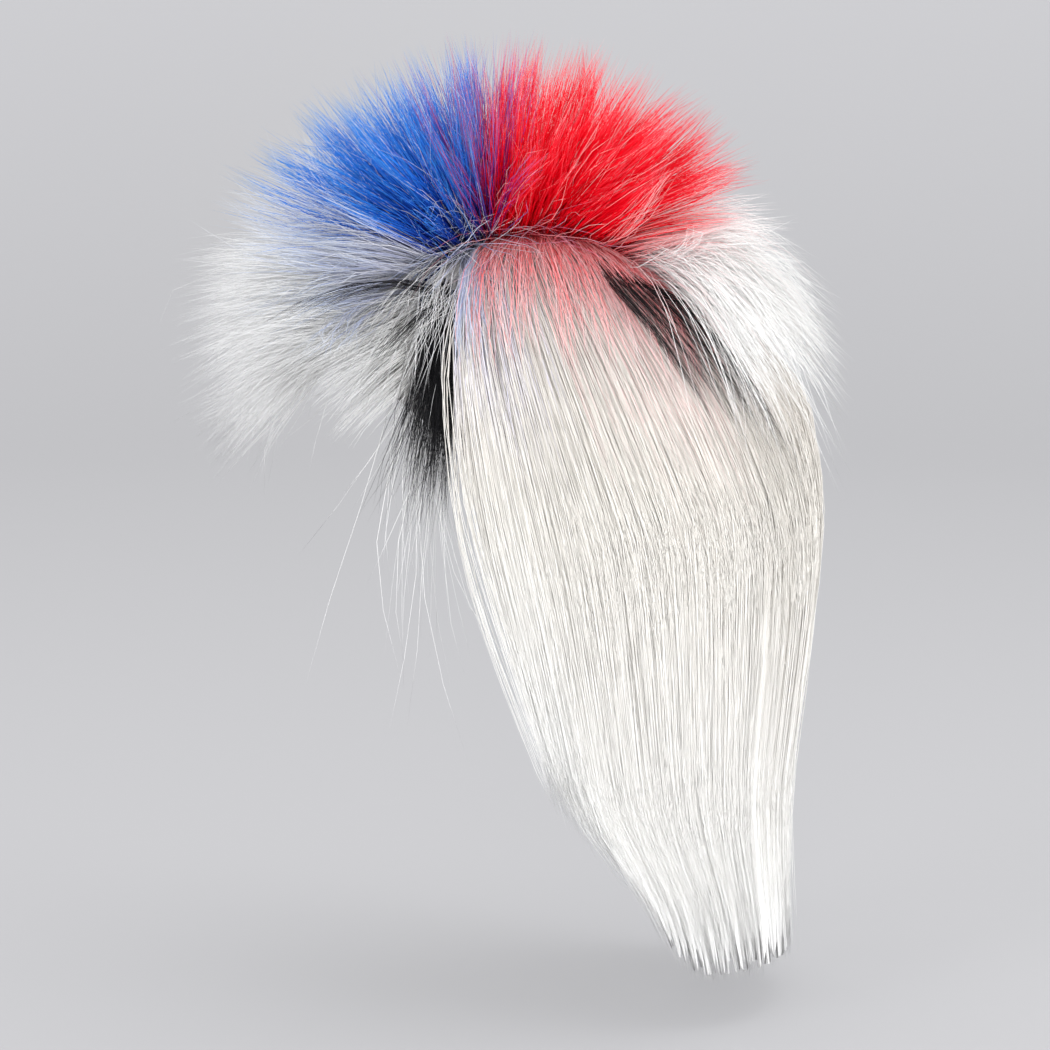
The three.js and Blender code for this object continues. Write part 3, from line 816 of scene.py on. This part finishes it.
def fringe():
    rng = np.random.default_rng(SEED + 4)
    paths, _ = band_fur(rng, FRINGE, 3100, -0.95, FRINGE_END, FRINGE_SPREAD, 100, (0.2, 0.8), 0.06)
    bunches = [paths]
    for side in SIDES.values():
        bunches += [wing(rng, side, 700), veil(rng, side, 240), cheek_wisps(rng, side, 46)]
    paths = np.concatenate(bunches)
    fur = (paths, {"shade": tones(rng, len(paths))})
    fur_piece(rng, "fringe_fur", [fur], "white", "fur_white", "fringe_white")


def wing(rng, side, count):
    """The fringe's ends, which hang beside the forehead."""
    y = rng.uniform(-0.78, TEMPLE_START, count) * HALF_LENGTH
    down = rng.uniform(0.22, 0.8, count)
    read = columns_at(WING, "down", down)
    forward = read("forward") * rng.uniform(0.75, 1.4, count)
    out = read("out") * rng.uniform(0.7, 1.2, count)
    roots = side_point(y, CROWN_HEIGHT * down, side)
    headings = unit(stack(side * out, -forward, -1))
    share = columns_at(WING_LENGTHS, "down", down)("length")
    lengths = PILE_LENGTH * share * rng.uniform(0.5, 1.05, count)
    paths, _ = gathered(rng, roots, headings, lengths, np.full(count, 0.08), 34, (0.1, 0.7))
    return frizzed(rng, paths, 0.06)


def veil(rng, side, count):
    """Light strands over the top of the temple, a few of which cross its tuft."""
    y = rng.uniform(-0.72, -0.37, count) * HALF_LENGTH
    down = 0.15 + 0.3 * rng.random(count) ** 1.5
    roots = side_point(y, CROWN_HEIGHT * down, side)
    forward = rng.normal(0.45, 0.5, count)
    out = rng.uniform(0.4, 1.2, count)
    up = rng.uniform(-1.3, 0, count)
    headings = unit(stack(side * out, -forward, up))
    lengths = PILE_LENGTH * rng.uniform(0.2, 0.66, count)
    strands = bent(roots, headings, lengths, rng.uniform(0.1, 0.5, count))
    return frizzed(rng, strands, 0.08)


def cheek_wisps(rng, side, count):
    """Long loose strands that hang forward of the long hair."""
    y = rng.uniform(*WISPS["y"], count)
    drop = rng.uniform(*WISPS["drop"], count)
    roots = side_point(y, drop, side)
    forward = rng.normal(0.1, 0.2, count)
    headings = unit(stack(side * rng.uniform(0, 0.25, count), -forward, -1))
    lengths = rng.uniform(*WISPS["length"], count)
    paths = bent(roots, headings, lengths, 0)
    backward = rng.normal(0.14, 0.14, count) * lengths
    paths[..., 1] += backward[:, None] * FUR_SHARES**2
    return frizzed(rng, paths, 0.06)


def temple(label, side):
    """The black tuft at one temple."""
    rng = np.random.default_rng(SEED + 20 + side)
    count = 620
    inset = 0.01
    share = rng.normal(TEMPLE_MIDDLE, 0.034, count)
    share = np.clip(share, TEMPLE_START + inset, TEMPLE_END - inset)
    down = rng.uniform(0.3, 0.72, count)
    roots = side_point(share * HALF_LENGTH, CROWN_HEIGHT * down, side)
    forward = rng.normal(0.06, 0.13, count) + chance(rng, np.full(count, 0.25), (0.1, 0.5))
    headings = unit(stack(side * rng.uniform(0.2, 0.5, count), -forward, -1))
    lengths = PILE_LENGTH * (0.3 + 0.7 * rng.random(count) ** 1.2)
    paths, _ = gathered(rng, roots, headings, lengths, np.full(count, 0.04), 34, (0.2, 0.9))
    arcs = temple_arcs(rng, side)
    paths = np.concatenate([frizzed(rng, paths, 0.05), arcs])
    values = {"shade": tones(rng, len(paths))}
    piece = strand_piece("temple_fur_" + label, paths, fine(rng, len(paths), 0.12, 0.2), values)
    dress(piece, MATERIALS["black"], "fur_black", "temple_black_" + label)


def temple_arcs(rng, side):
    """Two thin locks that arch forward from the tuft, over the white fur."""
    bunches = []
    for row in range(len(ARCS["count"])):
        arc = {column: values[row] for column, values in ARCS.items()}
        count = arc["count"]
        drop = CROWN_HEIGHT * arc["down"] + rng.normal(0, 1.5, count)
        y = TEMPLE_START * HALF_LENGTH + ARC_INSET + rng.normal(0, 2, count)
        roots = side_point(y, drop, side)
        turn = rng.normal(0, 0.02, (count, 2))
        headings = unit(stack(side * arc["out"], turn[:, 0] - arc["forward"], turn[:, 1] + arc["up"]))
        lengths = PILE_LENGTH * arc["length"] * rng.uniform(0.65, 1, count)
        paths = bent(roots, headings, lengths, arc["droop"])
        bunches.append(frizzed(rng, paths, 0.02))
    return np.concatenate(bunches)


def streak(label, side):
    """Thin black locks that fan out over the curtain's face."""
    rng = np.random.default_rng(SEED + 30 + side)
    count = 130
    lock = rng.integers(0, len(STREAKS["lock"]), count) + rng.normal(0, 0.24, count)
    read = columns_at(STREAKS, "lock", lock[:, None])
    share = FUR_SHARES * rng.uniform(0.7, 1.03, count)[:, None]
    around = read("root") + (read("tip") - read("root")) * share
    drop = STREAK_ROOT_DROP + STREAK_DROP * read("reach") * share**STREAK_BEND
    paths = curtain_point(around, drop, rng.uniform(-6, -0.5, count)[:, None], side)
    x = BAND_HALF_WIDTH + STREAK_PATCH_WIDTH * rng.random(count)
    paths[:, 0] = dome_point(side * x, paths[:, 0, 1])
    paths = frizzed(rng, paths, 0.03)
    values = {"shade": tones(rng, count)}
    piece = strand_piece("streak_fur_" + label, paths, fine(rng, count, 0.1, 0.16), values)
    dress(piece, MATERIALS["black"], "fur_black", "streak_black_" + label)


# Long hair


def swaying(rng, count):
    """A slow random wave down each long strand."""
    return np.sin(rng.uniform(0, 2 * math.pi, (count, 1)) + rng.uniform(1, 6, (count, 1)) * FALL)


def long_strands(rng, side, roots, depth, tip, clumps, pull, bow=0):
    """Strands that hang down the curtain and gather into locks, and each one's lock. `bow` is how far
    forward each one swings on its way down."""
    count = len(roots)
    around = around_at(roots, side) + rng.uniform(-0.004, 0.004, count)
    guides = rng.choice(count, clumps, replace=False)
    spots = stack(around * 220, depth * 1.5, roots[:, 2] * 0.25)
    lock = nearest(spots, spots[guides])
    guide = guides[lock]
    fall = FALL * rng.uniform(0.8, 1.2, (count, 1)) ** (1 - FALL)
    drop = -roots[:, 2:] + (tip + roots[:, 2])[:, None] * fall
    weight = rng.uniform(*pull, count)[:, None] * FALL**1.8
    phase = rng.uniform(0, 7, clumps)[lock][:, None]
    rate = rng.uniform(2, 7, clumps)[lock][:, None]
    wave = np.sin(phase + rate * FALL)
    loose = np.where(rng.random(count) < LOOSE_SHARE, LOOSENESS, 1)[:, None] * FALL**0.7
    turn = around[:, None] + weight * (around[guide] - around)[:, None] + 0.005 * wave * FALL
    edge = rng.uniform(0, 0.035, (count, 1))
    turn = np.clip(turn + 0.004 * loose * swaying(rng, count), edge, 1.02)
    deep = depth[:, None] + weight * (depth[guide] - depth)[:, None] + 1.2 * np.cos(phase) * FALL
    deep = deep + 0.9 * loose * swaying(rng, count)
    settled = np.minimum(1, (drop + roots[:, 2:]) / DRIFT_DROP)
    hung = curtain_point(turn + HAIR_DRIFT * turn * (1 - turn) * settled, drop, deep, side)
    scalp = scalp_under(hung)
    lift = np.sqrt(np.minimum(1, fall / LIFT_END))[..., None]
    paths = scalp + lift * (hung - scalp)
    paths[:, 0] = roots
    paths[..., 1] -= np.broadcast_to(bow, count)[:, None] * np.sin(math.pi * FALL**0.8)
    return paths, lock


def scalp_under(points):
    """The points of the head straight in from `points`, at their own levels."""
    drop = np.minimum(-points[..., 2], NAPE_DROP - 1)
    scalp = head_point(np.arctan2(points[..., 1], points[..., 0]), 1, ROOT_OUT, drop)
    scalp[..., 2] = points[..., 2]
    return scalp


def hair_roots(rng, count, side, front, back, top, bottom):
    """Roots on the head's side between two places along it and two drops. `top` may vary with y."""
    y = rng.uniform(front, back, count)
    upper = rim_angle(np.clip(top(y), 0, CROWN_HEIGHT))
    lower = rim_angle(np.array(bottom))
    angle = upper + (lower - upper) * rng.random(count) ** 1.15
    return side_point(y, CROWN_HEIGHT * (1 - np.cos(angle)), side)


def band_edge_drop(y):
    """The drop of the band's edge at `y`."""
    return -dome_point(BAND_HALF_WIDTH + 0.5, y, CAP_WALL)[..., 2]


def tip_drops(rng, around, ragged=0.09):
    """Drops of the tips along the curtain's lower edge, some shorter."""
    edge = HAIR_DROP * np.interp(around, TIPS["around"], TIPS["tip"])
    return edge * (1 - ragged * rng.random(len(around)) ** 1.6)


def side_hair(label, side):
    rng = np.random.default_rng(SEED + 40 + side)
    count = 2300
    front, back = TEMPLE_END * HALF_LENGTH + 1, RED_END * HALF_LENGTH - 1
    roots = hair_roots(rng, count, side, front, back, band_edge_drop, LOWEST_ROOT)
    around = around_at(roots, side)
    drop = -roots[:, 2]
    lowness = np.clip((drop - HIGHEST_ROOT) / (LOWEST_ROOT - HIGHEST_ROOT), 0, 1)
    depth = 2.4 * lowness**1.5 + rng.uniform(-0.8, 1.4, count)
    bow = (around < 0.1) * chance(rng, np.full(count, 0.3), (1, 18)) + rng.normal(0, 1, count)
    paths, lock = long_strands(rng, side, roots, depth, tip_drops(rng, around), 360, (0, 0.6), bow)
    tinted = drop < 50
    blush = chance(rng, 0.7 * near(roots[:, 1], 30, 36) * tinted, (0.3, 1))
    cool = chance(rng, 0.7 * near(roots[:, 1], -24, 22) * tinted, (0.3, 1))
    fade = np.interp(FALL, (0, 0.16, 0.3), (1, 0.7, 0))
    values = {
        "shade": tones(rng, count, lock),
        "blush": blush[:, None] * fade,
        "cool": cool[:, None] * fade,
    }
    piece = strand_piece("side_strands_" + label, paths, fine(rng, count, 0.16, 0.28), values)
    dress(piece, MATERIALS["hair"], "hair_white", "side_hair_" + label)


def sheet_points(side, pleat, around, fall, edge, top, depth):
    """The points of a sheet that hangs from the drop `top` to `edge`, by place round and fall."""
    drop = top + (edge - top) * fall
    settled = np.minimum(1, (drop - top) / DRIFT_DROP)
    turn = around + HAIR_DRIFT * around * (1 - around) * settled
    deep = depth - SHEET_RISE * fall**2 + PLEAT_DEPTH * pleat * np.minimum(1, 2 * fall)
    hung = curtain_point(turn, drop, deep, side)
    scalp = scalp_under(hung)
    lift = np.sqrt(np.minimum(1, fall / LIFT_END))[..., None]
    return scalp + lift * (hung - scalp)


def under_sheet(name, side, span, top, bottom, depth):
    """A pleated sheet under the strands, for the hair that lies behind them. `span` is two places
    round the curtain, and `bottom` a share of its lower edge."""
    rng = np.random.default_rng(SEED + 70 + side)
    around = np.linspace(*span, SHEET_COLUMNS)
    fall = np.linspace(0, 1, SHEET_ROWS + 1)[:, None] ** 1.5
    waves = [np.sin(around * rate + rng.uniform(0, 6)) for rate in PLEAT_RATES]
    pleat = sum(waves) / len(waves)
    edge = HAIR_DROP * np.interp(around, TIPS["around"], TIPS["tip"]) * bottom
    edge = edge - SHEET_TEETH * rng.random(len(around)) ** 2
    points = sheet_points(side, pleat, around, fall, edge, top, depth)
    rows, across = points.shape[:2]
    corner = np.arange(rows * across).reshape(rows, across)
    quads = stack(corner[:-1, :-1], corner[1:, :-1], corner[1:, 1:], corner[:-1, 1:])
    quads = quads.astype(int).reshape(-1, 4)[:, ::side]
    mesh = bpy.data.meshes.new(name)
    mesh.from_pydata((points.reshape(-1, 3) * MM).tolist(), [], quads.tolist())
    add_value(mesh, "along", np.broadcast_to(fall, (rows, across)))
    add_value(mesh, "shade", np.broadcast_to(0.5 + 0.5 * pleat, (rows, across)))
    mesh.shade_smooth()
    piece = place(name, mesh)
    wall = piece.modifiers.new("thickness", "SOLIDIFY")
    wall.thickness = SHEET_WALL * MM
    dress(piece, MATERIALS["hair"], "hair_white")


def rear_strands(rng, half, start, drops, depths, clumps, crowding):
    """Long strands on both sides of the middle of the back."""
    bunches, locks = [], []
    for side in SIDES.values():
        around = rng.uniform(start, 1, half)
        drop = drops[0] + (drops[1] - drops[0]) * rng.random(half) ** crowding
        roots = scalp_under(curtain_point(around, drop, 0, side))
        depth = np.interp(drop, drops, depths) + rng.uniform(-0.8, 2.5, half)
        paths, lock = long_strands(rng, side, roots, depth, tip_drops(rng, around), clumps, (0, 0.6))
        bunches.append(paths)
        locks.append(lock + len(locks) * clumps)
    return np.concatenate(bunches), np.concatenate(locks)


def rear_hair(piece, node, seed, strands, locks, start, drops, depths, crowding):
    """One layer of long hair over the back."""
    rng = np.random.default_rng(SEED + seed)
    paths, lock = rear_strands(rng, strands, start, drops, depths, locks, crowding)
    count = len(paths)
    hair = strand_piece(piece, paths, fine(rng, count, 0.18, 0.31), {"shade": tones(rng, count, lock)})
    dress(hair, MATERIALS["hair"], "hair_white", node)


# The cap and the pile's backing


def skin(name, out):
    """The head form as a mesh, from its top down to the cap's rim."""
    turn = np.linspace(0, 2 * math.pi, CAP_ROUNDS, endpoint=False)
    share = np.linspace(0, 1, CAP_STEPS + 1)[1:, None]
    grid = head_point(turn, share, out, rim_drop(turn))
    points = np.concatenate([[(0, 0, out)], grid.reshape(-1, 3)]) * MM
    here = np.arange(CAP_ROUNDS)
    after = (here + 1) % CAP_ROUNDS
    faces = [(0, 1 + i, 1 + after[i]) for i in here]
    for step in range(CAP_STEPS - 1):
        above, below = 1 + step * CAP_ROUNDS, 1 + (step + 1) * CAP_ROUNDS
        faces += [(above + i, below + i, below + after[i], above + after[i]) for i in here]
    mesh = bpy.data.meshes.new(name)
    mesh.from_pydata(points.tolist(), [], faces)
    return mesh


def walled(name, mesh, thickness):
    mesh.shade_smooth()
    piece = place(name, mesh)
    wall = piece.modifiers.new("wall", "SOLIDIFY")
    wall.thickness = thickness * MM
    wall.offset = 1
    return piece


def backing(name, cuts, material, slot):
    """The dense base of the pile in one zone. A cut is an axis, a place on it, and the sign of the side
    that stays."""
    mesh = skin(name, CAP_WALL + CLEARANCE / 2)
    form = bmesh.new()
    form.from_mesh(mesh)
    for axis, at, keep in cuts:
        through, facing = [0, 0, 0], [0, 0, 0]
        through[axis], facing[axis] = at * MM, keep
        bmesh.ops.bisect_plane(
            form,
            geom=form.verts[:] + form.edges[:] + form.faces[:],
            plane_co=through,
            plane_no=facing,
            clear_inner=True,
        )
    form.to_mesh(mesh)
    form.free()
    dress(walled(name, mesh, BACKING_WALL), MATERIALS[material], slot)


def cap():
    """The knitted cap, open at the face and the neck."""
    dress(walled("cap_shell", skin("cap_shell", 0), CAP_WALL), MATERIALS["knit"], "cap_knit", "cap")


def between(axis, low, high):
    """The cuts that leave what lies between two places on an axis."""
    return [(axis, low, 1), (axis, high, -1)]


def lengthwise(front, back):
    """The cuts that leave what lies between two shares of half the head's length."""
    return between(1, front * HALF_LENGTH, back * HALF_LENGTH)


cap()
fringe()
blue_crown()
red_crown()
halo()
for layer in zip(*REAR.values()):
    rear_hair(*layer)

BAND = between(0, -BAND_HALF_WIDTH, BAND_HALF_WIDTH)
backing("blue_backing", BAND + lengthwise(FRINGE_END, SEAM_LINE), "blue_felt", "fur_blue")
backing("red_backing", BAND + lengthwise(SEAM_LINE, RED_END), "red_felt", "fur_red")
backing("halo_backing", BAND + lengthwise(RED_END, HALO_END), "white_felt", "fur_white")
backing("fringe_backing", [(1, FRINGE_END * HALF_LENGTH, -1)], "white_felt", "fur_white")
for label, side in SIDES.items():
    temple(label, side)
    streak(label, side)
    side_hair(label, side)
    for layer, *form in zip(*SHEETS.values()):
        under_sheet(layer + "_underlayer_" + label, side, *form)
    beside = [(0, side * BAND_HALF_WIDTH, side)]
    forehead = beside + lengthwise(FRINGE_END, TEMPLE_START)
    temples = beside + lengthwise(TEMPLE_START, TEMPLE_END)
    flank = beside + lengthwise(TEMPLE_END, RED_END)
    tuft = between(2, -TUFT_BASE, -TUFT_TOP)
    backing("wing_backing_" + label, forehead, "white_felt", "fur_white")
    backing("temple_backing_" + label, temples + tuft, "black_felt", "fur_black")
    backing("temple_top_" + label, temples + [(2, -TUFT_TOP, 1)], "white_felt", "fur_white")
    backing("temple_base_" + label, temples + [(2, -TUFT_BASE, -1)], "white_felt", "fur_white")
    backing("side_backing_" + label, flank, "white_felt", "hair_white")


# The studio, in metres and watts

FLOOR_DROP = 0.41
FLOOR_RADIUS = 2.4
WALL_BEND = 1.1
WALL_HEIGHT = 1.5
STUDIO_ROUNDS = 64
BEND_STEPS = 12
# The paper's tones are painted light and shade: darker on the floor, which gets more light, and lighter
# up the wall, which gets less.
PAPER_FLOOR_DARKENED = (0.2, 0.2, 0.208)
PAPER_WALL_LIGHTENED = (0.34, 0.34, 0.353)
# The paper glows: painted light that also lights the hair from below.
PAPER_PAINTED_GLOW = 0.29
PAPER_TOP = 0.6  # the height from which the paper has its lightest tone

TARGET = (0, -0.0052, -0.1628)
ELEVATION = math.radians(8)
CAMERA_DISTANCE = 1.6
FRAME_WIDTH = 0.546
SENSOR = 36  # in mm

SKY = 1.12
LIGHTS = {
    "name": ("key", "low", "front", "rear", "top"),
    "place": ((2.1, 0.1, 0.35), (1.3, 0.3, -0.29), (1.4, -1.5, 0.1), (0.7, 1.7, 0), (0, 0.2, 1.9)),
    "size": (0.9, 0.22, 0.9, 0.8, 1.8),
    "power": (10, 6.4, 20, 15, 18),
}


def studio():
    """A floor that curves up all round into a pale wall. Its paper is painted darker on the floor and
    lighter up the wall, and it glows as painted light.
    """
    profile = [(FLOOR_RADIUS * i / 4, 0) for i in range(5)]
    for i in range(1, BEND_STEPS + 1):
        angle = i / BEND_STEPS * math.pi / 2
        out, up = WALL_BEND * math.sin(angle), WALL_BEND * (1 - math.cos(angle))
        profile.append((FLOOR_RADIUS + out, up))
    profile.append((FLOOR_RADIUS + WALL_BEND, WALL_HEIGHT))
    points, faces = [], []
    for radius, height in profile:
        for i in range(STUDIO_ROUNDS):
            angle = 2 * math.pi * i / STUDIO_ROUNDS
            flat = (radius * math.cos(angle), radius * math.sin(angle))
            points.append((*flat, height - FLOOR_DROP))
    for step in range(len(profile) - 1):
        for i in range(STUDIO_ROUNDS):
            first = step * STUDIO_ROUNDS
            a, b = first + i, first + (i + 1) % STUDIO_ROUNDS
            faces.append((a, a + STUDIO_ROUNDS, b + STUDIO_ROUNDS, b))
    mesh = bpy.data.meshes.new("studio_floor")
    mesh.from_pydata(points, [], faces)
    mesh.shade_smooth()
    material, tree, shader = node_material("studio_paper")
    where = tree.nodes.new("ShaderNodeTexCoord")
    split = tree.nodes.new("ShaderNodeSeparateXYZ")
    height = tree.nodes.new("ShaderNodeMapRange")
    height.inputs["From Min"].default_value = -FLOOR_DROP
    height.inputs["From Max"].default_value = PAPER_TOP
    tree.links.new(where.outputs["Object"], split.inputs["Vector"])
    tree.links.new(split.outputs["Z"], height.inputs["Value"])
    # Painted light: the paper lightens with height to make up for the light that falls on it.
    stops = [(0, *PAPER_FLOOR_DARKENED), (1, *PAPER_WALL_LIGHTENED)]
    tree.links.new(ramp(tree, height.outputs["Result"], stops), shader.inputs["Base Color"])
    shader.inputs["Roughness"].default_value = 0.9
    # The paper's glow is painted light, which also lights the hair from below.
    shader.inputs["Emission Color"].default_value = (1, 1, 1.03, 1)
    shader.inputs["Emission Strength"].default_value = PAPER_PAINTED_GLOW
    mesh.materials.append(material)
    place("studio_floor", mesh)


def aim(thing):
    direction = Vector(TARGET) - thing.location
    thing.rotation_euler = direction.to_track_quat("-Z", "Y").to_euler()


def area_light(name, location, size, power):
    data = bpy.data.lights.new(name, "AREA")
    data.shape = "DISK"
    data.size = size
    data.energy = power
    light = bpy.data.objects.new(name, data)
    bpy.context.scene.collection.objects.link(light)
    light.location = location
    aim(light)


studio()
for light in zip(*LIGHTS.values()):
    area_light(*light)

world = bpy.data.worlds.new("studio")
world.use_nodes = True
background = world.node_tree.nodes["Background"]
background.inputs["Color"].default_value = (1, 1, 1, 1)
background.inputs["Strength"].default_value = SKY
bpy.context.scene.world = world

camera_data = bpy.data.cameras.new("camera")
camera_data.sensor_width = SENSOR
camera_data.lens = SENSOR * CAMERA_DISTANCE / FRAME_WIDTH
camera = bpy.data.objects.new("camera", camera_data)
bpy.context.scene.collection.objects.link(camera)
back, up = CAMERA_DISTANCE * math.cos(ELEVATION), CAMERA_DISTANCE * math.sin(ELEVATION)
camera.location = (TARGET[0] + back, TARGET[1], TARGET[2] + up)
aim(camera)
bpy.context.scene.camera = camera
bpy.context.scene.view_settings.view_transform = "Standard"
